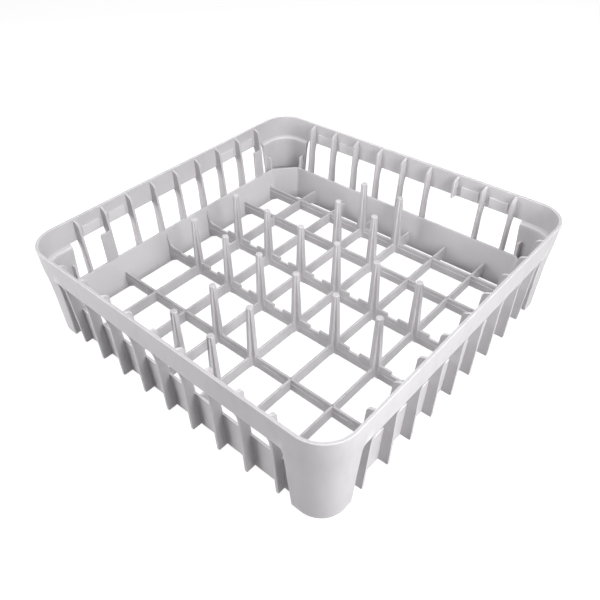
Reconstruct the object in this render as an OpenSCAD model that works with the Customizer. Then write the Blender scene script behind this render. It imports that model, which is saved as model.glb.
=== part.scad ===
// Plate basket for a commercial dishwasher, injection moulded in one piece.
// Sizes are in millimetres. The origin is the centre of the foot plane and +Z is up.
// Each wall is drawn at +Y and turned into place: X runs along it, Y points outwards.

/* [Overall] */
// Side of the square rim
basket_w = 400; // [380:5:420]
// Height from the feet to the rim
basket_h = 110; // [100:1:120]
// Plan radius of the rim at the four corners
corner_r = 33.5; // [30:0.5:42]

/* [Rim band] */
// Height of the closed band under the rim, on its outside
band_h = 28; // [24:0.5:34]
// Thickness of the band at the rim
band_t = 3; // [2.4:0.1:3.6]
// Draft of the band's outer face below the bead
band_draft = 0.5; // [0.3:0.1:1.5]
// How much higher the band's lower edge lies on the inside
band_lip = 1.8; // [0.4:0.1:3]
// How far the bead along the rim stands out
bead_t = 0.6; // [0.4:0.1:1]
// Height of that bead
bead_h = 3.5; // [2.5:0.5:5]

/* [Corner posts] */
// Distance from the rim's outer face to the edge of a post at its foot, along the wall
post_w = 43.7; // [42:0.1:48]
// How much wider a post is under the band
post_taper = 4.8; // [3:0.1:6]
// Height of the post's foot above the feet of the fins
post_lift = 2.5; // [1:0.1:4]
// How far a post steps in under the band
post_step = 3.5; // [2:0.1:4.5]
// Height over which it steps in
post_step_h = 12; // [8:0.5:16]
// Draft of a post from the step down to its foot
post_draft = 3.3; // [2:0.1:4]
// Thickness of a post
post_t = 3.7; // [3:0.1:4.5]
// Thickness of the upright plates that join a post to the skirt
return_t = 2.5; // [2:0.1:3]
// Height of those plates above the feet
return_h = 61; // [50:0.5:66]
// Distance of such a plate from the edge of the post's foot
return_in = 0.3; // [0.1:0.1:3]

/* [Fins] */
// Number of fins on each wall
fin_count = 9; // [7:2:11]
// Thickness of a fin
fin_t = 2.7; // [2:0.1:3]
// Distance from the last fin to the edge of the post, under the band
fin_margin = 11.5; // [9:0.5:16]
// How far a fin stands in from the rim's outer face
fin_reach = 13; // [12:0.1:14]
// Fall of a fin's top edge from the rim to its inner corner
fin_fall = 4.5; // [2.5:0.5:6]
// Radius of that inner corner
fin_round = 6.5; // [3:0.5:7]
// Distance from the rim's outer face to the foot of a fin's outer edge
fin_inset = 6.6; // [6:0.1:8]
// How much further in and higher the feet of a wall's first and last fins are
fin_end_in = 2.2; // [1:0.1:3]
// Number of the cut-off fin on the wall at +Y, counted from the -X end
cut_fin = 7; // [2:1:7]

/* [Skirt] */
// Height of the skirt, the closed wall round the floor
skirt_h = 45.2; // [40:0.1:50]
// Thickness of the skirt
skirt_t = 2.5; // [2:0.1:3]
// Distance from the rim's outer face to the foot of the skirt
skirt_inset = 17; // [16:0.1:19]
// How far the skirt leans outwards over its height
skirt_lean = 2.7; // [2:0.1:4]
// Width of the two upright tabs on the wall at -X
tab_w = 14; // [8:0.5:20]
// Height of those tabs above the skirt
tab_h = 37; // [20:0.5:40]

/* [Pads inside the band] */
// Width of a pad
pad_w = 22; // [14:1:26]
// Distance of a pad's upper edge below the rim
pad_drop = 13; // [8:0.5:18]
// Thickness that a pad adds to the band
pad_t = 1.4; // [0.6:0.1:2]

/* [Floor grid] */
// Underside of the bars and blades above the feet
floor_z = 8; // [5:0.5:10]
// Top of the plain bars and of the blades
floor_top = 22; // [19:0.5:25]
// Height of the ledge where a bar narrows to its web
ledge_z = 17; // [13:0.5:18]
// Thickness of a bar below the ledge
bar_t = 4; // [3.2:0.1:5]
// Thickness of the web of a bar
web_t = 2.4; // [2:0.1:2.8]
// Thickness of a blade
blade_t = 2.2; // [1.8:0.1:2.6]
// Spacing of the blades and of the pegs along a bar
peg_pitch = 50.65; // [46:0.05:52]
// Spacing of the bars beside the middle of the floor
bar_gap = 66.8; // [62:0.1:68]
// Length of a raised block on a peg bar
block_l = 38; // [24:1:42]
// Height of a block above the notches between the blocks
block_h = 4; // [2:0.5:6]
// Radius of the gussets that join the peg bars to the skirt
gusset_r = 19; // [12:1:21]

/* [Pegs] */
// Height of the peg tips above the feet
peg_h = 83.2; // [70:0.1:90]
// Thickness of the four arms of a peg
arm_t = 2.8; // [2.5:0.1:3.2]
// Width over the arms at the foot of a peg
arm_foot_w = 10.8; // [9:0.1:13]
// Width over the arms under the cap
arm_tip_w = 6.4; // [5:0.1:7]
// Diameter of the round cap
cap_d = 7; // [6.6:0.1:9]
// Height of the round cap
cap_h = 2.6; // [1.5:0.1:5]

/* [Hidden] */
$fn = 48;

plastic = [0.80, 0.80, 0.82];
half_w = basket_w / 2;
eps = 0.6;

// Heights of the band's lower edges, of the bead's and of the step under the band.
band_z = basket_h - band_h;
lip_z = band_z + band_lip;
bead_z = basket_h - bead_h;
step_z = band_z - post_step_h;

// Distances from the middle of the basket, outer faces first.
band_top_d = half_w - bead_t;
band_foot_d = band_top_d - band_draft;
band_foot_t = band_t - 0.6;
post_top_d = band_foot_d - post_step;
post_foot_d = post_top_d - post_draft;
arc_start = half_w - corner_r;

// Edges of the posts along the wall: under the band and at the foot.
post_edge = half_w - post_w - post_taper;
post_foot_edge = half_w - post_w;

// The post keeps most of its draft for the lowest part.
post_bend_z = step_z * 0.55;
post_bend_d = post_top_d - post_draft * 0.42;
post_step_n = 6;

// Skirt planes: outer and inner foot distance, lean per millimetre of height.
skirt_d = half_w - skirt_inset;
lean = skirt_lean / skirt_h;
skirt_end = post_foot_edge + 2.2;
diag_d = (skirt_d + skirt_end) / sqrt(2);

// Fins.
fin_pitch = 2 * (post_edge - fin_margin) / (fin_count - 1);
fin_top_z = basket_h - eps;
fin_in_d = half_w - fin_reach;
fin_out_d = half_w - fin_inset;

// Bars and blades.
notch_z = floor_top - 0.5;
end_block_z = floor_top + 1.5;
bar_rows = [bar_gap / 2, bar_gap * 1.5, bar_gap * 1.5 + peg_pitch];
flare_len = 13;

// Distance of the skirt's middle plane at height z, and of a plane off it by t.
function skirt_mid(z, t = 0) = skirt_d - skirt_t / 2 + lean * z + t;

// Place of fin k on its wall, counted from 1.
function fin_s(k) = (k - (fin_count + 1) / 2) * fin_pitch;

// Place of blade k on the floor, counted from 1 to 6.
function blade_x(k) = (k - 3.5) * peg_pitch;

function unit(v) = v / norm(v);

// Points of an arc of radius r that rounds the corner v between the points a and b.
function rounded(a, v, b, r, n = 4) =
    let (u = unit(a - v), w = unit(b - v))
    let (h = acos(u * w) / 2)
    let (c = v + unit(u + w) * (r / sin(h)))
    let (p = v + u * (r / tan(h)) - c, q = v + w * (r / tan(h)) - c)
    let (a0 = atan2(p.y, p.x), turn = (atan2(q.y, q.x) - a0 + 540) % 360 - 180)
    [for (i = [0:n]) c + r * [cos(a0 + turn * i / n), sin(a0 + turn * i / n)]];

// Section of the rim band, as distance from the middle and height.
band_section = [
    [half_w, basket_h],
    [half_w, bead_z],
    [band_top_d, bead_z - bead_t],
    [band_foot_d, band_z],
    [band_foot_d - band_foot_t, lip_z],
    [half_w - band_t, basket_h],
];

// Outer face of a post in its step under the band: a smooth S of n pieces.
post_step_curve = [
    for (i = [0:post_step_n])
        let (t = i / post_step_n)
        [band_foot_d - post_step * t * t * (3 - 2 * t), band_z - post_step_h * t]
];

// Section of a corner: the same band, the step under it and the post down to its foot.
post_in_d = post_top_d - post_t;
post_section = concat(
    [
        [half_w, basket_h],
        [half_w, bead_z],
        [band_top_d, bead_z - bead_t],
    ],
    post_step_curve,
    [
        [post_bend_d, post_bend_z],
        [post_foot_d, post_lift],
        [post_foot_d - post_t, post_lift],
        [post_bend_d - post_t, post_bend_z],
        [post_in_d, band_z - 4],
        [post_in_d + 0.9, band_z - 0.8],
        [post_in_d + 2.6, band_z + 0.6],
        [band_foot_d - band_foot_t + 0.02, lip_z + 0.8],
        [half_w - band_t, basket_h],
    ]
);

// Inner corner of a fin's top edge, its rounding and the lower end of its inner edge.
fin_root = [half_w - band_t, fin_top_z];
fin_corner = [fin_in_d, basket_h - fin_fall];
fin_low = [skirt_mid(skirt_h) - 1.1, skirt_h - 0.5];
fin_nose = rounded(fin_root, fin_corner, fin_low, fin_round, 5);

// Outline of a whole fin, from its root in the band round the nose to the foot,
// which is short by foot_in and foot_z.
function fin_outline(foot_in, foot_z) = concat(
    [[half_w - band_t / 2, fin_top_z], fin_root],
    fin_nose,
    [
        fin_low,
        [skirt_mid(foot_z), foot_z],
        [fin_out_d - foot_in, foot_z],
        [post_top_d - 0.4 - foot_in / 2, post_bend_z],
        [post_top_d + 0.2, step_z],
        [band_foot_d - band_foot_t / 2, lip_z],
    ]
);

// Distance of a fin's inner edge at the band's lower edge.
cut_d = fin_low.x + (fin_corner.x - fin_low.x) * (lip_z - fin_low.y) / (fin_corner.y - fin_low.y);

// Outline of the fin that ends at the band's lower edge.
cut_outline = concat(
    [[half_w - band_t / 2, fin_top_z], fin_root],
    fin_nose,
    [[cut_d, lip_z], [band_foot_d - band_foot_t / 2, lip_z]]
);

// Turns what is drawn at +Y onto the wall with this number: 0 +Y, 1 -X, 2 -Y, 3 +X.
module on_wall(number)
    rotate([0, 0, 90 * number])
        children();

// A section swept along the wall from s0 to s1.
module swept(s0, s1, section)
    translate([s0, 0, 0])
        rotate([90, 0, 90])
            linear_extrude(height = s1 - s0)
                polygon(section);

// An outline in the plane of the wall, given thickness between the distances d0 and d1.
module plate(d0, d1, outline)
    translate([0, d1, 0])
        rotate([90, 0, 0])
            linear_extrude(height = d1 - d0)
                polygon(outline);

// One wall's band between the posts.
module band()
    color(plastic)
        swept(-post_edge, post_edge, band_section);

// What is cut off a post's flange, so that it narrows from the band down to its foot.
module flange_cut()
    plate(half_w * 0.8, half_w + 1, [
        [post_edge - 1, -1],
        [post_foot_edge, -1],
        [post_foot_edge, post_lift],
        [post_edge, band_z - 0.5],
        [post_edge - 1, band_z - 0.5],
    ]);

// The plate that joins a post to the skirt, from the middle of the skirt's wall to the post's.
module return_plate() {
    edge = post_foot_edge + return_in;
    difference() {
        swept(edge, edge + return_t, [
            [skirt_d - 12, post_lift],
            [post_foot_d - post_t / 2, post_lift],
            [post_bend_d - post_t / 2, post_bend_z],
            [post_bend_d - post_t / 2 + 0.4, return_h],
            [skirt_d - 12, return_h],
        ]);
        lean_octagon(skirt_t / 2, -1, basket_h);
    }
}

// A post's flange with its return plate, at the +s end of a wall.
module flange() {
    difference() {
        swept(post_edge, arc_start, post_section);
        flange_cut();
    }
    return_plate();
}

// One corner: the post's two straight flanges and the quarter turn between them.
module corner_post()
    color(plastic) {
        flange();
        rotate([0, 0, -90])
            mirror([1, 0, 0])
                flange();
        translate([arc_start, arc_start, 0])
            rotate_extrude(angle = 90)
                translate([-arc_start, 0])
                    polygon(post_section);
    }

// A fin at the place s on its wall.
module fin(s, outline)
    color(plastic)
        swept(s - fin_t / 2, s + fin_t / 2, outline);

// A pad inside the band, centred on the place s: a wedge that stands out at its upper edge.
module pad(s) {
    low_d = band_foot_d - band_foot_t;
    top_z = basket_h - pad_drop;
    color(plastic)
        swept(s - pad_w / 2, s + pad_w / 2, [
            [low_d - 0.1, lip_z + 0.5],
            [low_d + 1, lip_z + 0.5],
            [low_d + 1.6, top_z],
            [low_d + 0.4 - pad_t, top_z],
        ]);
}

// An upright tab on the skirt, on the -s side of fin k.
module tab(k)
    color(plastic)
        swept(fin_s(k) - tab_w, fin_s(k) + 0.4, [
            [skirt_mid(skirt_h - 1, -1.1), skirt_h - 1],
            [skirt_mid(skirt_h - 1, 1.1), skirt_h - 1],
            [skirt_mid(skirt_h, 2.6), skirt_h + tab_h],
            [skirt_mid(skirt_h, 0.4), skirt_h + tab_h],
        ]);

// A slab between two walls that lean outwards by the skirt's lean.
module lean_slab(d, z0, z1)
    translate([-basket_w * 0.75, 0, 0])
        rotate([90, 0, 90])
            linear_extrude(height = basket_w * 1.5)
                polygon([
                    [-d - lean * z0, z0],
                    [d + lean * z0, z0],
                    [d + lean * z1, z1],
                    [-d - lean * z1, z1],
                ]);

// The eight-sided body inside four leaning walls and four leaning corner panels.
module lean_octagon(inset, z0, z1)
    intersection() {
        lean_slab(skirt_d - inset, z0, z1);
        rotate([0, 0, 90])
            lean_slab(skirt_d - inset, z0, z1);
        rotate([0, 0, 45])
            lean_slab(diag_d - inset, z0, z1);
        rotate([0, 0, -45])
            lean_slab(diag_d - inset, z0, z1);
    }

// The skirt, open above and below.
module skirt()
    color(plastic)
        difference() {
            lean_octagon(0, 0, skirt_h);
            lean_octagon(skirt_t, -1, skirt_h + 1);
        }

// The underside of a bar or blade, dropping towards the skirt at both ends.
function underside(drop) = [
    [-half_w, drop],
    [-skirt_d + skirt_t, drop],
    [-skirt_d + skirt_t + flare_len, floor_z],
    [skirt_d - skirt_t - flare_len, floor_z],
    [skirt_d - skirt_t, drop],
    [half_w, drop],
];

// The top of a peg bar from the middle outwards: blocks, notches, end block and gusset.
function peg_bar_top() = concat(
    [for (k = [4:6]) each [
        [blade_x(k) - block_l / 2, notch_z],
        [blade_x(k) - block_l / 2, notch_z + block_h],
        [blade_x(k) + block_l / 2, notch_z + block_h],
        [blade_x(k) + block_l / 2, notch_z],
    ]],
    [[blade_x(7) - block_l / 2, notch_z], [blade_x(7) - block_l / 2, end_block_z]],
    [for (a = [0:10:90]) [
        skirt_mid(floor_top, -0.4) - gusset_r + gusset_r * sin(a),
        end_block_z + gusset_r - gusset_r * cos(a)
    ]],
    [[half_w, end_block_z + gusset_r]]
);

function flipped(points) = [for (i = [len(points) - 1:-1:0]) [-points[i].x, points[i].y]];

// A plain bar along X: thick lower part and thin web.
module bar() {
    plain_top = [[half_w, floor_top], [-half_w, floor_top]];
    plate(-web_t / 2, web_t / 2, concat(underside(1), plain_top));
    plate(-bar_t / 2, bar_t / 2, [
        [-half_w, floor_z + 0.2],
        [half_w, floor_z + 0.2],
        [half_w, ledge_z],
        [-half_w, ledge_z],
    ]);
}

// A peg bar along X: the same bar with blocks, notches and gussets on top.
module peg_bar() {
    top = peg_bar_top();
    right_to_middle = [for (i = [len(top) - 1:-1:0]) top[i]];
    plate(-web_t / 2, web_t / 2, concat(underside(1), right_to_middle, [for (p = top) [-p.x, p.y]]));
    plate(-bar_t / 2, bar_t / 2, [
        [-half_w, floor_z + 0.2],
        [half_w, floor_z + 0.2],
        [half_w, ledge_z],
        [-half_w, ledge_z],
    ]);
}

// A blade along Y, its top corner rounded off just before the skirt.
module blade() {
    stop = skirt_mid(floor_top, -skirt_t / 2 - 0.6);
    corner = rounded([0, floor_top], [stop, floor_top], [stop, floor_z], 1.8, 3);
    end_top = concat([[half_w, floor_top - 2.5], [stop, floor_top - 2.5]], [for (i = [3:-1:0]) corner[i]]);
    swept(-blade_t / 2, blade_t / 2, concat(underside(2.5), end_top, flipped(end_top)));
}

// The floor grid, cut off half-way through the skirt.
module floor_grid()
    color(plastic)
        intersection() {
            lean_octagon(skirt_t / 2, 0.5, skirt_h - 0.6);
            union() {
                for (side = [-1, 1]) {
                    translate([0, side * bar_rows[0], 0])
                        peg_bar();
                    for (row = [1, 2])
                        translate([0, side * bar_rows[row], 0])
                            bar();
                }
                for (k = [1:6])
                    translate([blade_x(k), 0, 0])
                        blade();
            }
        }

// One peg: two crossing tapered plates and a round cap.
module peg() {
    arm = [
        [-arm_foot_w / 2, floor_z - 0.4],
        [arm_foot_w / 2, floor_z - 0.4],
        [arm_foot_w / 2, floor_top + 2],
        [arm_tip_w / 2, peg_h - cap_h / 2],
        [-arm_tip_w / 2, peg_h - cap_h / 2],
        [-arm_foot_w / 2, floor_top + 2],
    ];
    color(plastic) {
        plate(-arm_t / 2, arm_t / 2, arm);
        rotate([0, 0, 90])
            plate(-arm_t / 2, arm_t / 2, arm);
        translate([0, 0, peg_h - cap_h])
            cylinder(d = cap_d, h = cap_h);
    }
}

// All pegs: one at every blade on the peg bars, and at the two middle blades on the others.
module pegs()
    for (side = [-1, 1]) {
        for (k = [1:6])
            translate([blade_x(k), side * bar_rows[0], 0])
                peg();
        for (k = [3, 4], row = [1, 2])
            translate([blade_x(k), side * bar_rows[row], 0])
                peg();
    }

// One wall with its band, fins and pads. A fin number in cut is left short.
module wall(cut) {
    band();
    for (k = [1:fin_count])
        if (k == cut)
            fin(fin_s(k), cut_outline);
        else if (k == 1 || k == fin_count)
            fin(fin_s(k), fin_outline(fin_end_in, fin_end_in / 4));
        else
            fin(fin_s(k), fin_outline(0, 0));
    for (k = [1, 2, fin_count - 2, fin_count - 1])
        pad((fin_s(k) + fin_s(k + 1)) / 2);
}

module basket() {
    for (number = [0:3])
        on_wall(number) {
            wall(number == 0 ? cut_fin : 0);
            corner_post();
        }
    on_wall(1) {
        tab(2);
        tab(fin_count);
    }
    skirt();
    floor_grid();
    pegs();
}

basket();
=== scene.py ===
# %% [markdown]
# # Plate basket for a commercial dishwasher
#
# The basket is ONE injection moulding in a pale, satin plastic: a band runs round the
# rim, thin fins hang from it and carry a low skirt, four hollow posts stand in the
# corners, and a grid with twenty pegs makes the floor.
#
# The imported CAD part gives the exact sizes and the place. Here the same forms are built
# again with the soft edges, curved steps and finish of the real moulding. Everything is
# in the CAD part's frame. Sizes are written in millimetres and turned into metres when
# a mesh is made.

# %% Load the CAD frame
import math

import bmesh
import bpy
from mathutils import Matrix, Vector


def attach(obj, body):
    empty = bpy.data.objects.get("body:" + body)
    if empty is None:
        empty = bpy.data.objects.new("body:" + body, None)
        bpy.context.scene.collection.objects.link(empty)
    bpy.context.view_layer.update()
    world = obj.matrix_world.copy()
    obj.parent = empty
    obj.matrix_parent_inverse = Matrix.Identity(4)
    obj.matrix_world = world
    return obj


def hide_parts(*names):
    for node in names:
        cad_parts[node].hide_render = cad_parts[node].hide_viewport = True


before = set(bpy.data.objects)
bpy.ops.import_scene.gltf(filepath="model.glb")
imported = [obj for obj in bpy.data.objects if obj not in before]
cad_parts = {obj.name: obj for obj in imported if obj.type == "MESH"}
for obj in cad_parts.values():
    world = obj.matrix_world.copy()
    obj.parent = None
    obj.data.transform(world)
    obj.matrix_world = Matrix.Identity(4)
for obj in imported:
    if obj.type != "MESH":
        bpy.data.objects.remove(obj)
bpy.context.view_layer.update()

MM = 0.001
scene = bpy.context.scene

# %% [markdown]
# ## The satin plastic
#
# Real baskets are moulded in polypropylene: pale, slightly cool grey, with a soft sheen.
# Colour and gloss are never quite even. Two noises in object coordinates make them
# drift, one broad as in the melt and one fine as in handling marks. Every mesh carries an
# "edge_wear_and_highlight" value on its rounded edges. There the colour is painted lighter, a
# painted highlight along each rounded edge, and the gloss is smoother, as where plates and
# racks polish the edges. A very fine grain and shallow flow ripples go into the bump.
#
# Object coordinates are used because every piece sits at the origin: the pattern runs
# through from one piece to the next, as in one moulding.


# %% Start a material
def start_material(name):
    material = bpy.data.materials.new(name)
    material.use_nodes = True
    nodes = material.node_tree.nodes
    nodes.clear()
    return material, nodes, material.node_tree.links


def noise_in_place(nodes, links, scale, detail, stretch=(1, 1, 1)):
    place = nodes.new("ShaderNodeTexCoord")
    mapping = nodes.new("ShaderNodeMapping")
    mapping.inputs["Scale"].default_value = stretch
    noise = nodes.new("ShaderNodeTexNoise")
    noise.inputs["Scale"].default_value = scale
    noise.inputs["Detail"].default_value = detail
    links.new(place.outputs["Object"], mapping.inputs["Vector"])
    links.new(mapping.outputs["Vector"], noise.inputs["Vector"])
    return noise.outputs["Fac"]


def spread(nodes, links, value, low, high, start=0.3, end=0.7):
    ranged = nodes.new("ShaderNodeMapRange")
    ranged.inputs["From Min"].default_value = start
    ranged.inputs["From Max"].default_value = end
    ranged.inputs["To Min"].default_value = low
    ranged.inputs["To Max"].default_value = high
    links.new(value, ranged.inputs["Value"])
    return ranged.outputs["Result"]


# %% Make the satin plastic
def make_satin_plastic():
    material, nodes, links = start_material("satin_plastic")
    out = nodes.new("ShaderNodeOutputMaterial")
    shader = nodes.new("ShaderNodeBsdfPrincipled")
    shader.inputs["Specular IOR Level"].default_value = 0.42
    links.new(shader.outputs["BSDF"], out.inputs["Surface"])

    # Colour: the melt's broad drift, then handling marks, then the rounded edges painted lighter, a
    # painted highlight over their polish.
    broad = noise_in_place(nodes, links, 14, 3)
    melt = nodes.new("ShaderNodeValToRGB")
    melt.color_ramp.elements[0].position = 0.34
    melt.color_ramp.elements[0].color = (0.562, 0.545, 0.564, 1)
    melt.color_ramp.elements[1].position = 0.66
    melt.color_ramp.elements[1].color = (0.607, 0.589, 0.608, 1)
    links.new(broad, melt.inputs["Fac"])
    marks = noise_in_place(nodes, links, 130, 6, (1, 1, 0.35))
    dulled = nodes.new("ShaderNodeMix")
    dulled.data_type = "RGBA"
    dulled.blend_type = "MULTIPLY"
    dulled.inputs["B"].default_value = (0.93, 0.93, 0.935, 1)
    links.new(spread(nodes, links, marks, 0.0, 0.40, 0.52, 0.72), dulled.inputs["Factor"])
    links.new(melt.outputs["Color"], dulled.inputs["A"])
    worn_and_lit_edges = nodes.new("ShaderNodeAttribute")
    worn_and_lit_edges.attribute_name = "edge_wear_and_highlight"
    edge = spread(nodes, links, worn_and_lit_edges.outputs["Fac"], 0.0, 0.5, 0.0, 1.0)
    # Painted highlight: the rounded edges get this lighter grey, besides the smoother gloss of wear.
    polished_and_lit = nodes.new("ShaderNodeMix")
    polished_and_lit.data_type = "RGBA"
    polished_and_lit.inputs["B"].default_value = (0.84, 0.825, 0.84, 1)
    links.new(edge, polished_and_lit.inputs["Factor"])
    links.new(dulled.outputs["Result"], polished_and_lit.inputs["A"])
    links.new(polished_and_lit.outputs["Result"], shader.inputs["Base Color"])

    # Gloss: rougher where the marks are, smoother on the polished edges.
    rough = spread(nodes, links, marks, 0.40, 0.52)
    smoother = nodes.new("ShaderNodeMath")
    smoother.operation = "MULTIPLY_ADD"
    smoother.inputs[1].default_value = -0.14
    links.new(edge, smoother.inputs[0])
    links.new(rough, smoother.inputs[2])
    links.new(smoother.outputs[0], shader.inputs["Roughness"])

    # Bump: grain of the mould's steel over shallow flow ripples.
    ripple = nodes.new("ShaderNodeBump")
    ripple.inputs["Strength"].default_value = 0.10
    ripple.inputs["Distance"].default_value = 0.0010
    links.new(noise_in_place(nodes, links, 60, 2, (1, 1, 0.5)), ripple.inputs["Height"])
    grain = nodes.new("ShaderNodeBump")
    grain.inputs["Strength"].default_value = 0.10
    grain.inputs["Distance"].default_value = 0.0002
    links.new(noise_in_place(nodes, links, 1100, 3), grain.inputs["Height"])
    links.new(ripple.outputs["Normal"], grain.inputs["Normal"])
    links.new(grain.outputs["Normal"], shader.inputs["Normal"])
    return material


satin_plastic = make_satin_plastic()
print("material", satin_plastic.name, len(satin_plastic.node_tree.nodes), "nodes")

# %% [markdown]
# ## Sizes that several pieces share
#
# Each wall is worked out lying at +Y: `s` runs along it, `d` is the distance from the
# middle of the basket and `z` the height. A quarter turn puts it on the next side.

# %% Shared sizes, in millimetres
SIDE = 200.0  # half the rim's width
HEIGHT = 110.0
ARC = 166.5  # where the corner curve starts
BAND_FOOT = 82.0  # outer lower edge of the band
BAND_LIP = 83.8  # its inner lower edge
BAND_OUT = 198.9  # distance of the outer lower edge
BAND_IN = 196.5  # distance of the inner lower edge
SKIRT_TOP = 45.2
SKIRT_FOOT = 183.0  # outer face of the skirt at z = 0
SKIRT_WALL = 2.5
LEAN = 2.7 / SKIRT_TOP
SKIRT_STRAIGHT = 158.5  # where the skirt's corner panel starts, at z = 0
POST_FOOT = 2.5
FIN_PITCH = 35.0
BLADE_PITCH = 50.65
BAR_ROWS = (33.4, 100.2, 150.85)


def skirt_middle(z, off=0.0):
    """Distance of the middle of the skirt's wall at height z, or of a plane beside it."""
    return SKIRT_FOOT - SKIRT_WALL / 2 + LEAN * z + off


# %% [markdown]
# ## From points to a piece
#
# A moulding has no knife edges. So each shape is built with sharp edges first, and a
# Bevel modifier rounds them to a radius. The radius is written on each edge as a bevel
# weight, since a rim is softer than a rib. A Weighted Normal modifier then keeps the
# flat faces flat in shading. Both modifiers are turned into plain mesh at once.


# %% Helpers that make a piece
def solid_from(points, faces):
    """A bmesh of points in millimetres, with its faces turned outwards."""
    bm = bmesh.new()
    verts = [bm.verts.new(Vector(p) * MM) for p in points]
    for f in faces:
        bm.faces.new([verts[i] for i in f])
    bmesh.ops.remove_doubles(bm, verts=bm.verts, dist=1e-6)
    bmesh.ops.recalc_face_normals(bm, faces=bm.faces)
    return bm


def round_edges(bm, radius, sharp=25):
    """Weights every edge sharper than this many degrees with its radius in millimetres."""
    layer = bm.edges.layers.float.get("bevel_weight_edge") or bm.edges.layers.float.new(
        "bevel_weight_edge"
    )
    for e in bm.edges:
        if len(e.link_faces) == 2 and e.calc_face_angle() > math.radians(sharp):
            mid = (e.verts[0].co + e.verts[1].co) / 2 / MM
            e[layer] = (radius(mid, e) if callable(radius) else radius) / 2.0


def to_plain(obj):
    """Replaces the object's mesh by its evaluated one and drops the modifiers."""
    graph = bpy.context.evaluated_depsgraph_get()
    plain = bpy.data.meshes.new_from_object(obj.evaluated_get(graph))
    obj.modifiers.clear()
    obj.data = plain
    plain.name = obj.name
    return obj


def mark_edge_wear_and_highlight(mesh):
    """Writes edge_wear_and_highlight = 1 on the points in the middle of a rounding, 0 on the flat
    faces; the material paints a highlight there and makes the gloss smoother.
    """
    bm = bmesh.new()
    bm.from_mesh(mesh)
    layer = bm.verts.layers.float.new("edge_wear_and_highlight")
    for v in bm.verts:
        bends = [e.calc_face_angle_signed(0) for e in v.link_edges if len(e.link_faces) == 2]
        v[layer] = 1.0 if bends and max(bends) > math.radians(20) else 0.0
    bm.to_mesh(mesh)
    bm.free()


def finish_piece(name, bm, segments=3):
    """Rounds the weighted edges (2 mm at full weight) and gives a plain, smooth mesh."""
    mesh = bpy.data.meshes.new(name)
    bm.to_mesh(mesh)
    bm.free()
    obj = bpy.data.objects.new(name, mesh)
    scene.collection.objects.link(obj)
    bevel = obj.modifiers.new("soft_edges", "BEVEL")
    bevel.limit_method = "WEIGHT"
    bevel.width = 2.0 * MM
    bevel.segments = segments
    bevel.use_clamp_overlap = True
    to_plain(obj)
    mark_edge_wear_and_highlight(obj.data)
    for p in obj.data.polygons:
        p.use_smooth = True
    obj.data.set_sharp_from_angle(angle=math.radians(50))
    even = obj.modifiers.new("even_shading", "WEIGHTED_NORMAL")
    even.keep_sharp = True
    to_plain(obj)
    obj.data.materials.clear()
    obj.data.materials.append(satin_plastic)
    return obj


finished = []


def hand_over(obj):
    """The piece rides on the basket's one body and stands for the CAD node."""
    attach(obj, "root")
    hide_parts("basket")
    finished.append(obj)
    triangles = sum(len(p.vertices) - 2 for p in obj.data.polygons)
    size = [round(v / MM, 1) for v in obj.dimensions]
    print(f"{obj.name}: {triangles} triangles, {size} mm")
    return obj


# %% [markdown]
# ## The rim band and the corner posts
#
# On the real basket the band, 28 mm high with a small bead along the rim, runs into the
# four corner posts in one smooth sweep: under the band each post steps in by 3.5 mm in
# a curve, so that baskets can be stacked, and then tapers down to its foot. The
# post's straight flanges get narrower towards the foot.
#
# It could be cut from a block with booleans, but their edges don't round well. A grid
# is better: one column of points for each place round the rim, one row for each height,
# once outside and once inside. Between the posts the rows simply stop at the band's
# lower edge.

# %% Sections of band and post, as distance and height
S_STEPS = 10
S_FALL = 8.0  # how fast the step under the band fades out
POST_TOP = (195.4, 66.0)
POST_BEND = (194.0, 38.5)
POST_TOE = (192.1, POST_FOOT)
POST_WALL = 3.7


rim_outside = [(SIDE, HEIGHT), (SIDE, 106.5), (199.4, 105.9), (199.15, 94.0), (BAND_OUT, BAND_FOOT)]
rim_inside = [(197.0, HEIGHT), (BAND_IN, BAND_LIP)]
heights = [BAND_FOOT + (POST_TOP[1] - BAND_FOOT) * i / S_STEPS for i in range(1, S_STEPS + 1)]


def shoulder(z, foot=POST_TOP[0] - 0.3):
    """Distance of the curved step under the band: quick at first, then fading out."""
    return foot + (BAND_OUT - foot) * math.exp((z - BAND_FOOT) / S_FALL)


post_outside = [(shoulder(z), z) for z in heights]
post_outside += [(194.9, 55.0), POST_BEND, (193.1, 20.0), POST_TOE]
inner = POST_TOP[0] - POST_WALL
post_inside = [
    (196.46, 83.4),
    (196.2, 83.0),
    (195.6, 82.6),
    (194.4, 82.2),
    (193.4, 81.8),
    (192.6, 81.0),
    (192.1, 79.8),
    (inner + 0.1, 78.0),
    (inner, 75.0),
    (inner, POST_TOP[1]),
    (194.9 - POST_WALL, 55.0),
    (POST_BEND[0] - POST_WALL, POST_BEND[1]),
    (193.1 - POST_WALL, 20.0),
    (POST_TOE[0] - POST_WALL, POST_FOOT),
]
print("rows outside and inside a post:", len(post_outside), len(post_inside))
soft_slope = [(199.4, 105.9), (198.75, 94.0), (197.7, 82.0), (196.3, 72.0), (195.3, 62.0),
              (194.9, 55.0)]


def soft_corner(z):
    """Distance of the corner's outside, where no step shows under the band."""
    for (d1, z1), (d0, z0) in zip(soft_slope, soft_slope[1:]):
        if z0 <= z <= z1:
            return d0 + (d1 - d0) * (z - z0) / (z1 - z0)
    return None



# %% [markdown]
# A column is a function that turns (d, z) into a point. On a flange the column leans
# with the slanted edge of the post, and round the corner it turns about the corner's
# centre. One quarter of the rim is listed, and the other three are turned copies.


# %% Columns round a quarter of the rim
def post_edge(z):
    return 156.3 - 4.8 * min(z, 81.5) / 81.5


def straight(s):
    return lambda d, z: (s, d, z)


def flange(share, side):
    """A column on a post's flange: share 0 is its edge, 1 the start of the corner."""
    return lambda d, z: (side * (post_edge(z) + (ARC - post_edge(z)) * share), d, z)


def corner(angle):
    a = math.radians(angle)
    return lambda d, z: (ARC + (d - ARC) * math.sin(a), ARC + (d - ARC) * math.cos(a), z)


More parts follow.
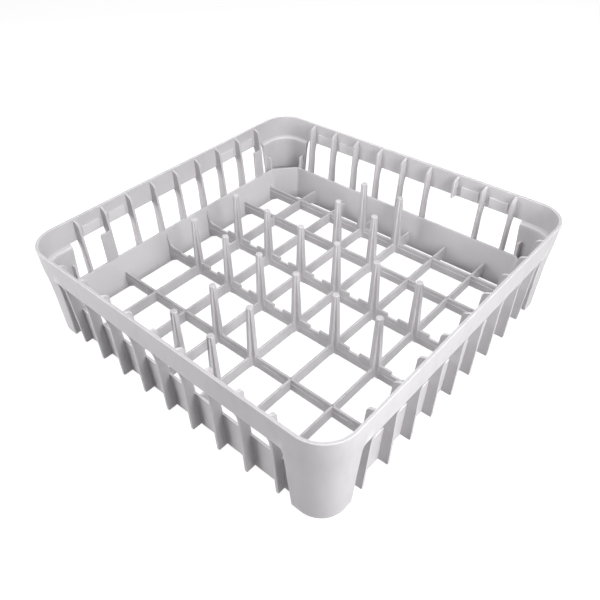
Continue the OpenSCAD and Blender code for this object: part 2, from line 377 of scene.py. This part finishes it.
CORNER_STEPS = 20
columns = [(flange(1 - i / 3, -1), True, 1 - i / 3) for i in range(4)]
columns += [(straight(s), False, 0) for s in range(-140, 141, 20)]
columns += [(flange(i / 3, 1), True, i / 3) for i in range(4)]
columns += [(corner(90 * i / CORNER_STEPS), True, 1) for i in range(1, CORNER_STEPS)]
ring = []
for quarter in range(4):
    turn = Matrix.Rotation(math.radians(-90 * quarter), 3, "Z")
    for place, on_post, softness in columns:
        ring.append((lambda d, z, p=place, t=turn: t @ Vector(p(d, z)), on_post, softness))
print("columns round the rim:", len(ring))


# %% Build the rim and the posts
def build_rim_and_posts():
    points, faces, index = [], [], {}

    def point(column, row):
        if (column, row) not in index:
            place, _, softness = ring[column]
            index[column, row] = len(points)
            d, z = rows[row]
            soft = soft_corner(z)
            if row[0] == "out" and soft:
                d += (soft - d) * softness
            points.append(place(d, z))
        return index[column, row]

    rows = {}
    rows.update({("out", i): p for i, p in enumerate(rim_outside + post_outside)})
    rows.update({("in", i): p for i, p in enumerate(rim_inside + post_inside)})
    band_rows, lip_rows = len(rim_outside) - 1, len(rim_inside) - 1
    last_out = band_rows + len(post_outside)
    last_in = lip_rows + len(post_inside)
    for a in range(len(ring)):
        b = (a + 1) % len(ring)
        post = ring[a][1] and ring[b][1]
        low_out, low_in = (last_out, last_in) if post else (band_rows, lip_rows)
        for i in range(low_out):
            faces.append([point(a, ("out", i)), point(b, ("out", i)),
                          point(b, ("out", i + 1)), point(a, ("out", i + 1))])
        for i in range(low_in):
            faces.append([point(b, ("in", i)), point(a, ("in", i)),
                          point(a, ("in", i + 1)), point(b, ("in", i + 1))])
        faces.append([point(a, ("in", 0)), point(b, ("in", 0)),
                      point(b, ("out", 0)), point(a, ("out", 0))])
        faces.append([point(a, ("out", low_out)), point(b, ("out", low_out)),
                      point(b, ("in", low_in)), point(a, ("in", low_in))])
        if ring[a][1] != ring[b][1]:
            edge = a if ring[a][1] else b
            for i in range(len(post_outside)):
                faces.append([point(edge, ("out", band_rows + i)),
                              point(edge, ("out", band_rows + i + 1)),
                              point(edge, ("in", lip_rows + i + 1)),
                              point(edge, ("in", lip_rows + i))])
    return solid_from(points, faces)


def rim_radius(mid, edge):
    along = edge.verts[1].co - edge.verts[0].co
    upright = abs(along.z) > 0.6 * along.length
    reach = max(abs(mid.x), abs(mid.y))
    if upright:
        return 1.3 if reach > 192 else 0.6
    if mid.z > 109:
        return 0.8
    if mid.z > 100:
        return 0.3
    return 0.5 if mid.z > 60 else 0.7


rim = build_rim_and_posts()
round_edges(rim, rim_radius, sharp=30)
hand_over(finish_piece("rim_and_posts", rim))

# %% [markdown]
# ## The skirt
#
# The closed wall round the floor has eight sides: four long ones and four corner
# panels. It leans outwards by 2.7 mm over its height, which lets it leave the mould.
# Eight corner points at the foot and eight at the top, inside and outside, say it all.


# %% Build the skirt
def skirt_corners(z, inset):
    d = SKIRT_FOOT + LEAN * z - inset
    diagonal = (SKIRT_FOOT + SKIRT_STRAIGHT) / math.sqrt(2) + LEAN * z - inset
    s = diagonal * math.sqrt(2) - d
    quarter = [(-s, d), (s, d)]
    corners = []
    for n in range(4):
        turn = Matrix.Rotation(math.radians(-90 * n), 2)
        corners += [(*(turn @ Vector(p)), z) for p in quarter]
    return corners


def build_skirt():
    rings = [skirt_corners(0, 0), skirt_corners(SKIRT_TOP, 0),
             skirt_corners(SKIRT_TOP, SKIRT_WALL), skirt_corners(0, SKIRT_WALL)]
    points = [p for r in rings for p in r]
    faces = []
    for level in range(4):
        for i in range(8):
            j, up = (i + 1) % 8, (level + 1) % 4
            faces.append([level * 8 + i, level * 8 + j, up * 8 + j, up * 8 + i])
    return solid_from(points, faces)


skirt = build_skirt()
round_edges(skirt, lambda mid, e: 1.6 if abs((e.verts[0].co - e.verts[1].co).z) > 0.01
            else (0.7 if mid.z > 20 else 0.5))
hand_over(finish_piece("skirt", skirt))

# %% [markdown]
# ## Flat ribs
#
# Fins, bars, blades, pads and tabs are all flat ribs: an outline with a thickness.
# `rib` takes the outline as (across, up) points. The outline stands in the plane
# that the two given axes make, and the thickness goes to both sides of it.


# %% Helper for ribs
ALONG_X = (Vector((1, 0, 0)), Vector((0, 1, 0)))
ALONG_Y = (Vector((0, 1, 0)), Vector((1, 0, 0)))


def rib(outline, thickness, axes=ALONG_X, shift=(0, 0, 0), radius=0.6):
    """A bmesh of an outline, given as (across, up) points, with a thickness."""
    across, side = axes
    up = Vector((0, 0, 1))
    points = []
    for t in (-thickness / 2, thickness / 2):
        points += [across * a + up * z + side * t + Vector(shift) for a, z in outline]
    n = len(outline)
    faces = [list(range(n)), list(range(2 * n - 1, n - 1, -1))]
    faces += [[i, (i + 1) % n, n + (i + 1) % n, n + i] for i in range(n)]
    piece = solid_from(points, faces)
    round_edges(piece, radius)
    return piece


def merged(first, *others):
    """Puts the other bmeshes into the first one."""
    for other in others:
        spare = bpy.data.meshes.new("spare")
        other.to_mesh(spare)
        other.free()
        first.from_mesh(spare)
        bpy.data.meshes.remove(spare)
    return first


def rounded(a, v, b, r, n=4):
    """Points of an arc of radius r that rounds the corner v between a and b."""
    a, v, b = Vector(a), Vector(v), Vector(b)
    u, w = (a - v).normalized(), (b - v).normalized()
    half = math.acos(max(-1, min(1, u.dot(w)))) / 2
    centre = v + (u + w).normalized() * (r / math.sin(half))
    p, q = v + u * (r / math.tan(half)) - centre, v + w * (r / math.tan(half)) - centre
    start = math.atan2(p.y, p.x)
    turn = (math.atan2(q.y, q.x) - start + 3 * math.pi) % (2 * math.pi) - math.pi
    return [
        tuple(centre + r * Vector((math.cos(start + turn * i / n), math.sin(start + turn * i / n))))
        for i in range(n + 1)
    ]


# %% [markdown]
# ## Laying out what repeats
#
# 35 fins, 20 pegs, 16 pads, six blades and six bars repeat on straight rows, and the
# rows repeat round the basket. One Geometry Nodes tree does all of it: it makes a point
# for each copy, works out column, row and turn from the point's index, puts the piece
# on it and turns it. One index may be left out, for the fin that is cut short.
#
# Copies made in Python would do as well, but in the tree the numbers are named inputs,
# set on the modifier, which is then turned into plain mesh.


# %% Build the layout tree
def math_node(tree, operation, a, b=None):
    node = tree.nodes.new("ShaderNodeMath")
    node.operation = operation
    for socket, value in zip(node.inputs, (a, b)):
        if value is None:
            continue
        if isinstance(value, (int, float)):
            socket.default_value = value
        else:
            tree.links.new(value, socket)
    return node.outputs[0]


def build_layout_tree():
    tree = bpy.data.node_groups.new("lay_out_in_rows", "GeometryNodeTree")
    face = tree.interface
    face.new_socket("Piece", in_out="INPUT", socket_type="NodeSocketGeometry")
    for name, kind, value in (
        ("Columns", "NodeSocketInt", 1),
        ("Column Pitch", "NodeSocketFloat", 0.0),
        ("Rows", "NodeSocketInt", 1),
        ("First Row", "NodeSocketFloat", 0.0),
        ("Row Pitch", "NodeSocketFloat", 0.0),
        ("Turns", "NodeSocketInt", 1),
        ("Left Out", "NodeSocketInt", -1),
    ):
        face.new_socket(name, in_out="INPUT", socket_type=kind).default_value = value
    face.new_socket("Plastic", in_out="INPUT", socket_type="NodeSocketMaterial")
    face.new_socket("Pieces", in_out="OUTPUT", socket_type="NodeSocketGeometry")
    given = tree.nodes.new("NodeGroupInput").outputs
    index = tree.nodes.new("GeometryNodeInputIndex").outputs[0]

    # Which column, row and turn a point stands for.
    per_turn = math_node(tree, "MULTIPLY", given["Columns"], given["Rows"])
    count = math_node(tree, "MULTIPLY", per_turn, given["Turns"])
    column = math_node(tree, "MODULO", index, given["Columns"])
    rank = math_node(tree, "FLOOR", math_node(tree, "DIVIDE", index, given["Columns"]))
    row = math_node(tree, "MODULO", rank, given["Rows"])
    turn = math_node(tree, "FLOOR", math_node(tree, "DIVIDE", index, per_turn))

    # Its place before turning, centred along the row.
    middle = math_node(tree, "DIVIDE", math_node(tree, "SUBTRACT", given["Columns"], 1.0), 2.0)
    x = math_node(tree, "MULTIPLY", math_node(tree, "SUBTRACT", column, middle),
                  given["Column Pitch"])
    y = math_node(tree, "ADD", given["First Row"],
                  math_node(tree, "MULTIPLY", row, given["Row Pitch"]))
    flat = tree.nodes.new("ShaderNodeCombineXYZ")
    tree.links.new(x, flat.inputs["X"])
    tree.links.new(y, flat.inputs["Y"])

    # Turned about the middle of the basket.
    angle = math_node(tree, "MULTIPLY", turn,
                      math_node(tree, "DIVIDE", 2 * math.pi, given["Turns"]))
    turned = tree.nodes.new("ShaderNodeVectorRotate")
    turned.rotation_type = "Z_AXIS"
    tree.links.new(flat.outputs[0], turned.inputs["Vector"])
    tree.links.new(angle, turned.inputs["Angle"])
    spin = tree.nodes.new("ShaderNodeCombineXYZ")
    tree.links.new(angle, spin.inputs["Z"])

    dots = tree.nodes.new("GeometryNodePoints")
    tree.links.new(count, dots.inputs["Count"])
    tree.links.new(turned.outputs[0], dots.inputs["Position"])
    skip = tree.nodes.new("FunctionNodeCompare")
    skip.data_type = "INT"
    skip.operation = "NOT_EQUAL"
    tree.links.new(index, skip.inputs[2])
    tree.links.new(given["Left Out"], skip.inputs[3])
    copies = tree.nodes.new("GeometryNodeInstanceOnPoints")
    tree.links.new(dots.outputs[0], copies.inputs["Points"])
    tree.links.new(skip.outputs[0], copies.inputs["Selection"])
    tree.links.new(given["Piece"], copies.inputs["Instance"])
    tree.links.new(spin.outputs[0], copies.inputs["Rotation"])
    real = tree.nodes.new("GeometryNodeRealizeInstances")
    tree.links.new(copies.outputs[0], real.inputs[0])
    paint = tree.nodes.new("GeometryNodeSetMaterial")
    tree.links.new(real.outputs[0], paint.inputs["Geometry"])
    tree.links.new(given["Plastic"], paint.inputs["Material"])
    out = tree.nodes.new("NodeGroupOutput")
    tree.links.new(paint.outputs[0], out.inputs[0])
    return tree


layout_tree = build_layout_tree()


def lay_out(obj, **numbers):
    """Runs the tree on a piece and keeps the mesh. Pitches and rows are in millimetres.

    Each input is set by its identifier, because that is how the modifier stores it.
    """
    layout = obj.modifiers.new("layout", "NODES")
    layout.node_group = layout_tree
    inputs = {i.name: i for i in layout_tree.interface.items_tree if i.in_out == "INPUT"}
    values = {"Plastic": satin_plastic, **{k.replace("_", " "): v for k, v in numbers.items()}}
    for name, value in values.items():
        length = inputs[name].socket_type == "NodeSocketFloat"
        layout[inputs[name].identifier] = value * MM if length else value
    return to_plain(obj)


print("layout tree:", len(layout_tree.nodes), "nodes")

# %% [markdown]
# ## The fins
#
# Nine fins on each wall tie the band to the skirt. Seen from the side, a fin starts in
# the band just under the rim, runs inwards to a rounded nose, drops to the top of the
# skirt and goes on outside it, following the posts' bend, to the foot plane. The two
# outer fins of a wall end a little higher and further in, since they share the mould
# with the posts. One fin on the far wall is cut off at the band's edge.

# %% Build the fins
FIN = 2.7
FIN_TOP = HEIGHT - 2.2
FIN_NOSE = (188.9, 104.6)
fin_low = (skirt_middle(SKIRT_TOP) - 0.7, SKIRT_TOP - 0.5)
fin_nose = rounded((197.0, FIN_TOP), FIN_NOSE, fin_low, 5.2, 9)


fin_shoulder = [(shoulder(z) + 0.1, z) for z in (66.0, 70.0, 73.0, 76.0, 78.0, 80.0, 81.5)]


def fin_outline(foot_in, foot_z):
    toe = rounded((skirt_middle(foot_z), foot_z), (193.4 - foot_in, foot_z),
                  (195.0 - foot_in / 2, 38.5), 1.2, 3)
    return [(198.5, FIN_TOP), (197.0, FIN_TOP), *fin_nose, fin_low,
            (skirt_middle(foot_z), foot_z), *toe,
            (195.0 - foot_in / 2, 38.5), *fin_shoulder, (198.6, 83.0)]


fin = rib(fin_outline(0, 0), FIN, ALONG_Y, radius=0.7)
middle_fins = lay_out(finish_piece("fins", fin), Columns=7, Column_Pitch=FIN_PITCH,
                      Turns=4, Left_Out=5)
end_fin = rib(fin_outline(2.2, 0.55), FIN, ALONG_Y, radius=0.7)
end_fins = lay_out(finish_piece("end_fins", end_fin), Columns=2, Column_Pitch=8 * FIN_PITCH,
                   Turns=4)
slope = (FIN_NOSE[0] - fin_low[0]) / (FIN_NOSE[1] - fin_low[1])
stub = [(198.5, FIN_TOP), (197.0, FIN_TOP), *fin_nose,
        (fin_low[0] + slope * (BAND_LIP - fin_low[1]), BAND_LIP), (197.7, BAND_LIP)]
cut_fin = finish_piece("cut_fin", rib(stub, FIN, ALONG_Y, (70, 0, 0), 0.7))
for piece in (middle_fins, end_fins, cut_fin):
    hand_over(piece)

# %% [markdown]
# ## Pads, return plates and tabs
#
# Inside the band, low wedges stand out between the outer fins. They keep the plates off
# the rim. A plate on each post's edge ties the post back to the skirt and makes it a
# box. Two upright tabs stand on the skirt of the left wall, against a fin.

# %% Build pads, return plates and tabs
wedge = [(196.4, 84.3), (197.5, 84.3), (198.1, 97.0), (195.2, 97.0)]
pad_pair = merged(*(rib(wedge, 22.0, ALONG_Y, (s, 0, 0), 0.2) for s in (-17.5, 17.5)))
hand_over(lay_out(finish_piece("pads", pad_pair, 2), Columns=2, Column_Pitch=210.0, Turns=4))

plate = [(skirt_middle(z), z) for z in (POST_FOOT, SKIRT_TOP, 61.0)]
plate = [(POST_TOE[0] - 1.85, POST_FOOT), *plate, (POST_BEND[0] - 1.45, 61.0),
         (POST_BEND[0] - 1.85, POST_BEND[1])]
return_plate = rib(plate, 2.5, ALONG_Y, radius=0.6)
hand_over(lay_out(finish_piece("return_plates", return_plate, 2), Columns=2,
                  Column_Pitch=315.7, Turns=4))

LEFTWARDS = (Vector((-1, 0, 0)), Vector((0, 1, 0)))
leaning = [(skirt_middle(44.2, -1.1), 44.2), (skirt_middle(44.2, 1.1), 44.2),
           (skirt_middle(SKIRT_TOP, 2.6), 82.2), (skirt_middle(SKIRT_TOP, 0.4), 82.2)]
tabs = merged(*(rib(leaning, 14.4, LEFTWARDS, (0, fin_place - 6.8, 0), 0.6)
                for fin_place in (-105.0, 140.0)))
hand_over(finish_piece("tabs", tabs))

# %% [markdown]
# ## The floor grid
#
# Six bars run along X and six blades along Y. A bar has a thick lower part with a ledge,
# and a thin web on top. On the two peg bars the web carries blocks with notches between
# them, in which a plate's edge sits, and it sweeps up to the skirt at both ends in a
# concave gusset. The undersides drop to the skirt's foot over the last 13 mm.

# %% Outlines of the floor's ribs
FLOOR = 8.0
FLOOR_TOP = 22.0
LEDGE = 17.0
RUN_IN = 180.5  # the skirt's inner face, where the undersides end
BLOCK = 38.0


def mirrored(right_half):
    """Adds the mirrored left half to an outline that starts at the bottom right."""
    return right_half + [(-a, z) for a, z in reversed(right_half)]


def from_below(drop):
    return [(RUN_IN - 13, FLOOR), (RUN_IN, drop), (skirt_middle(drop), drop)]


plain_web = mirrored([*from_below(1.0), (skirt_middle(FLOOR_TOP), FLOOR_TOP)])
thick_part = mirrored([(skirt_middle(FLOOR), FLOOR + 0.2), (skirt_middle(LEDGE), LEDGE)])
sweep = [(0.6, 42.6), (2.0, 38.0), (3.8, 32.5), (5.6, 28.0), (7.3, 25.2), (9.6, 23.9)]
gusset = [(skirt_middle(42.6) - a, z) for a, z in sweep]
castle = [(skirt_middle(42.6), 42.6), *gusset, (3.5 * BLADE_PITCH - BLOCK / 2, 23.5),
          (3.5 * BLADE_PITCH - BLOCK / 2, 21.5)]
for centre in (2.5 * BLADE_PITCH, 1.5 * BLADE_PITCH, 0.5 * BLADE_PITCH):
    castle += [(centre + BLOCK / 2, 21.5), (centre + BLOCK / 2, 25.5),
               (centre - BLOCK / 2, 25.5), (centre - BLOCK / 2, 21.5)]
castle_web = mirrored([*from_below(1.0), *castle])
stop = skirt_middle(FLOOR_TOP, -SKIRT_WALL / 2 - 0.6)
blade_top = [(skirt_middle(19.5), 19.5), (stop, 19.5),
             *reversed(rounded((0, FLOOR_TOP), (stop, FLOOR_TOP), (stop, FLOOR), 1.8, 4))]
blade_web = mirrored([*from_below(2.5), *blade_top])
print("points of a peg bar's outline:", len(castle_web))

# %% Build bars and blades
peg_bar = merged(rib(castle_web, 2.4, radius=0.5), rib(thick_part, 4.0, radius=0.5))
hand_over(lay_out(finish_piece("peg_bars", peg_bar), Rows=2, First_Row=-BAR_ROWS[0],
                  Row_Pitch=2 * BAR_ROWS[0]))
bar = merged(rib(plain_web, 2.4, radius=0.5), rib(thick_part, 4.0, radius=0.5))
hand_over(lay_out(finish_piece("plain_bars", bar), Rows=2, First_Row=BAR_ROWS[1],
                  Row_Pitch=BAR_ROWS[2] - BAR_ROWS[1], Turns=2))
blade = rib(blade_web, 2.2, ALONG_Y, radius=0.5)
hand_over(lay_out(finish_piece("blades", blade), Columns=6, Column_Pitch=BLADE_PITCH))

# %% [markdown]
# ## The pegs
#
# Twenty pegs hold the plates on edge. Each is a cross of two ribs that get narrower
# upwards, and it ends in a round cap so that nothing scratches. The rib in line with
# the bar is as thick as the bar, the one in line with the blade is thinner. The cross
# is one twelve-sided section, lofted over three heights, with fillets in its corners.

# %% Build the pegs
PEG_TOP = 84.6
ARM_X = 4.3  # thickness of the rib along X
ARM_Y = 3.0  # thickness of the rib along Y


def cross(width, z):
    a, b, w = ARM_Y / 2, ARM_X / 2, width / 2
    quarter = [(w, b), (a, b), (a, w)]
    section = quarter + [(-x, y) for x, y in reversed(quarter)]
    section += [(-x, -y) for x, y in quarter] + [(x, -y) for x, y in reversed(quarter)]
    return [(x, y, z) for x, y in section]


def build_peg():
    levels = [cross(11.8, FLOOR - 0.4), cross(11.8, 24.0), cross(6.7, PEG_TOP - 1.3)]
    points = [p for level in levels for p in level]
    faces = [list(range(12)), list(range(35, 23, -1))]
    for level in range(2):
        for i in range(12):
            j = (i + 1) % 12
            faces.append([level * 12 + i, level * 12 + j,
                          level * 12 + 12 + j, level * 12 + 12 + i])
    stem = solid_from(points, faces)
    round_edges(stem, 0.5)
    profile = [(3.1, PEG_TOP - 2.6), (3.5, PEG_TOP - 2.1), (3.5, PEG_TOP - 1.1),
               (3.42, PEG_TOP - 0.5), (3.15, PEG_TOP - 0.12), (2.7, PEG_TOP)]
    around = 24
    points, faces = [], []
    for r, z in profile:
        for i in range(around):
            a = 2 * math.pi * i / around
            points.append((r * math.cos(a), r * math.sin(a), z))
    for ring_number in range(len(profile) - 1):
        for i in range(around):
            j = (i + 1) % around
            low, up = ring_number * around, (ring_number + 1) * around
            faces.append([low + i, low + j, up + j, up + i])
    faces.append(list(range(around)))
    faces.append(list(range(len(points) - around, len(points))))
    return merged(stem, solid_from(points, faces))


peg = finish_piece("pegs_on_peg_bars", build_peg())
outer_peg = finish_piece("pegs_on_plain_bars", build_peg())
hand_over(lay_out(peg, Columns=6, Column_Pitch=BLADE_PITCH, Rows=2,
                  First_Row=-BAR_ROWS[0], Row_Pitch=2 * BAR_ROWS[0]))
hand_over(lay_out(outer_peg, Columns=2, Column_Pitch=BLADE_PITCH, Rows=2,
                  First_Row=BAR_ROWS[1], Row_Pitch=BAR_ROWS[2] - BAR_ROWS[1], Turns=2))
total = sum(len(p.vertices) - 2 for o in finished for p in o.data.polygons)
print(len(finished), "pieces,", total, "triangles")

# %% [markdown]
# ## The floor, the light and the camera
#
# The photograph is a cut-out on white, so the floor and the world are white to the camera
# only. Two softboxes stand to the right and to the left of the camera, with a weak one
# between them, one overhead and one behind. The world fills the shadows a little.
# Unseen by the camera, the floor is dark round the basket as painted shade, and pale under it.


# %% Choose the rays that see white
def sees_white(nodes, links):
    """1 for rays that show the background: from the camera, in gloss and through glass."""
    path = nodes.new("ShaderNodeLightPath")
    factor = path.outputs["Is Camera Ray"]
    for kind in ("Is Glossy Ray", "Is Transmission Ray"):
        either = nodes.new("ShaderNodeMath")
        either.operation = "MAXIMUM"
        links.new(factor, either.inputs[0])
        links.new(path.outputs[kind], either.inputs[1])
        factor = either.outputs[0]
    return factor


# %% Make the floor
def make_floor():
    mesh = bpy.data.meshes.new("floor")
    side = 3.0
    mesh.from_pydata(
        [(-side, -side, 0), (side, -side, 0), (side, side, 0), (-side, side, 0)],
        [],
        [(0, 1, 2, 3)],
    )
    floor = bpy.data.objects.new("floor", mesh)
    bpy.context.scene.collection.objects.link(floor)
    material = bpy.data.materials.new("white_paper_with_painted_shade")
    material.use_nodes = True
    nodes, links = material.node_tree.nodes, material.node_tree.links
    nodes.clear()
    out = nodes.new("ShaderNodeOutputMaterial")
    seen = nodes.new("ShaderNodeAddShader")
    glow = nodes.new("ShaderNodeEmission")
    glow.inputs["Strength"].default_value = 0.94
    paper = nodes.new("ShaderNodeBsdfDiffuse")
    paper.inputs["Color"].default_value = (0.20, 0.20, 0.20, 1)
    links.new(glow.outputs[0], seen.inputs[0])
    links.new(paper.outputs[0], seen.inputs[1])
    # Every ray but the camera's sees another floor: dark (0.02) round the basket, painted shade that
    # keeps the outer recesses dark, and pale (0.90) under the basket's footprint, which lights the
    # inside from below.
    shade_and_bounce_floor = nodes.new("ShaderNodeBsdfDiffuse")
    place = nodes.new("ShaderNodeTexCoord")
    size = nodes.new("ShaderNodeVectorMath")
    size.operation = "ABSOLUTE"
    links.new(place.outputs["Object"], size.inputs[0])
    split = nodes.new("ShaderNodeSeparateXYZ")
    links.new(size.outputs["Vector"], split.inputs[0])
    reach = nodes.new("ShaderNodeMath")
    reach.operation = "MAXIMUM"
    links.new(split.outputs["X"], reach.inputs[0])
    links.new(split.outputs["Y"], reach.inputs[1])
    pale = nodes.new("ShaderNodeMapRange")
    pale.inputs["From Min"].default_value = 0.160
    pale.inputs["From Max"].default_value = 0.178
    pale.inputs["To Min"].default_value = 0.90
    pale.inputs["To Max"].default_value = 0.02
    links.new(reach.outputs["Value"], pale.inputs["Value"])
    links.new(pale.outputs["Result"], shade_and_bounce_floor.inputs["Color"])
    mix = nodes.new("ShaderNodeMixShader")
    links.new(sees_white(nodes, links), mix.inputs["Fac"])
    links.new(shade_and_bounce_floor.outputs[0], mix.inputs[1])
    links.new(seen.outputs[0], mix.inputs[2])
    links.new(mix.outputs[0], out.inputs["Surface"])
    mesh.materials.append(material)
    return floor


make_floor()


# %% Make the world
def make_world():
    world = bpy.data.worlds.new("studio")
    bpy.context.scene.world = world
    world.use_nodes = True
    nodes, links = world.node_tree.nodes, world.node_tree.links
    nodes.clear()
    out = nodes.new("ShaderNodeOutputWorld")
    soft = nodes.new("ShaderNodeBackground")
    soft.inputs["Color"].default_value = (1, 1, 1, 1)
    soft.inputs["Strength"].default_value = 0.07
    white = nodes.new("ShaderNodeBackground")
    white.inputs["Color"].default_value = (1, 1, 1, 1)
    white.inputs["Strength"].default_value = 1.0
    mix = nodes.new("ShaderNodeMixShader")
    links.new(sees_white(nodes, links), mix.inputs["Fac"])
    links.new(soft.outputs[0], mix.inputs[1])
    links.new(white.outputs[0], mix.inputs[2])
    links.new(mix.outputs[0], out.inputs["Surface"])


make_world()


# %% Hang the lamps
def hang_lamp(name, place, aim, size, power):
    data = bpy.data.lights.new(name, "AREA")
    data.shape = "SQUARE"
    data.size = size
    data.energy = power
    lamp = bpy.data.objects.new(name, data)
    bpy.context.scene.collection.objects.link(lamp)
    lamp.location = place
    lamp.rotation_mode = "QUATERNION"
    way = Vector(aim) - Vector(place)
    lamp.rotation_quaternion = way.to_track_quat("-Z", "Y")
    return lamp


hang_lamp("right_softbox", (0.84, -0.08, 0.40), (0, 0, 0.06), 0.55, 8.3)
hang_lamp("left_softbox", (-0.56, -0.84, 0.33), (0, 0, 0.06), 0.55, 7.2)
hang_lamp("front_fill", (0.60, -0.75, 0.28), (0, 0, 0.05), 0.5, 1.1)
hang_lamp("overhead_softbox", (0.0, 0.0, 1.2), (0, 0, 0.05), 0.6, 5.5)
hang_lamp("back_softbox", (-0.66, 0.74, 0.40), (0, 0, 0.06), 0.6, 5.5)


# %% Stand the camera
def stand_camera():
    turn, rise, roll = (math.radians(a) for a in (44.78, 38.80, -2.88))
    centre = Vector((-0.02200, -0.02923, 0.04931))
    distance = 0.6958
    back = Vector(
        (math.sin(turn) * math.cos(rise), -math.cos(turn) * math.cos(rise), math.sin(rise))
    )
    level = Vector((math.cos(turn), math.sin(turn), 0))
    upward = back.cross(level)
    right = level * math.cos(roll) + upward * math.sin(roll)
    top = -level * math.sin(roll) + upward * math.cos(roll)
    data = bpy.data.cameras.new("camera")
    data.sensor_width = 36
    data.lens = 646.34 / 600 * 36
    data.shift_x = (300 - 265.40) / 600
    data.shift_y = (279.42 - 300) / 600
    data.clip_start = 0.01
    camera = bpy.data.objects.new("camera", data)
    bpy.context.scene.collection.objects.link(camera)
    matrix = Matrix((right, top, back)).transposed().to_4x4()
    matrix.translation = centre + back * distance
    camera.matrix_world = matrix
    bpy.context.scene.camera = camera


stand_camera()
bpy.context.scene.view_settings.view_transform = "Standard"
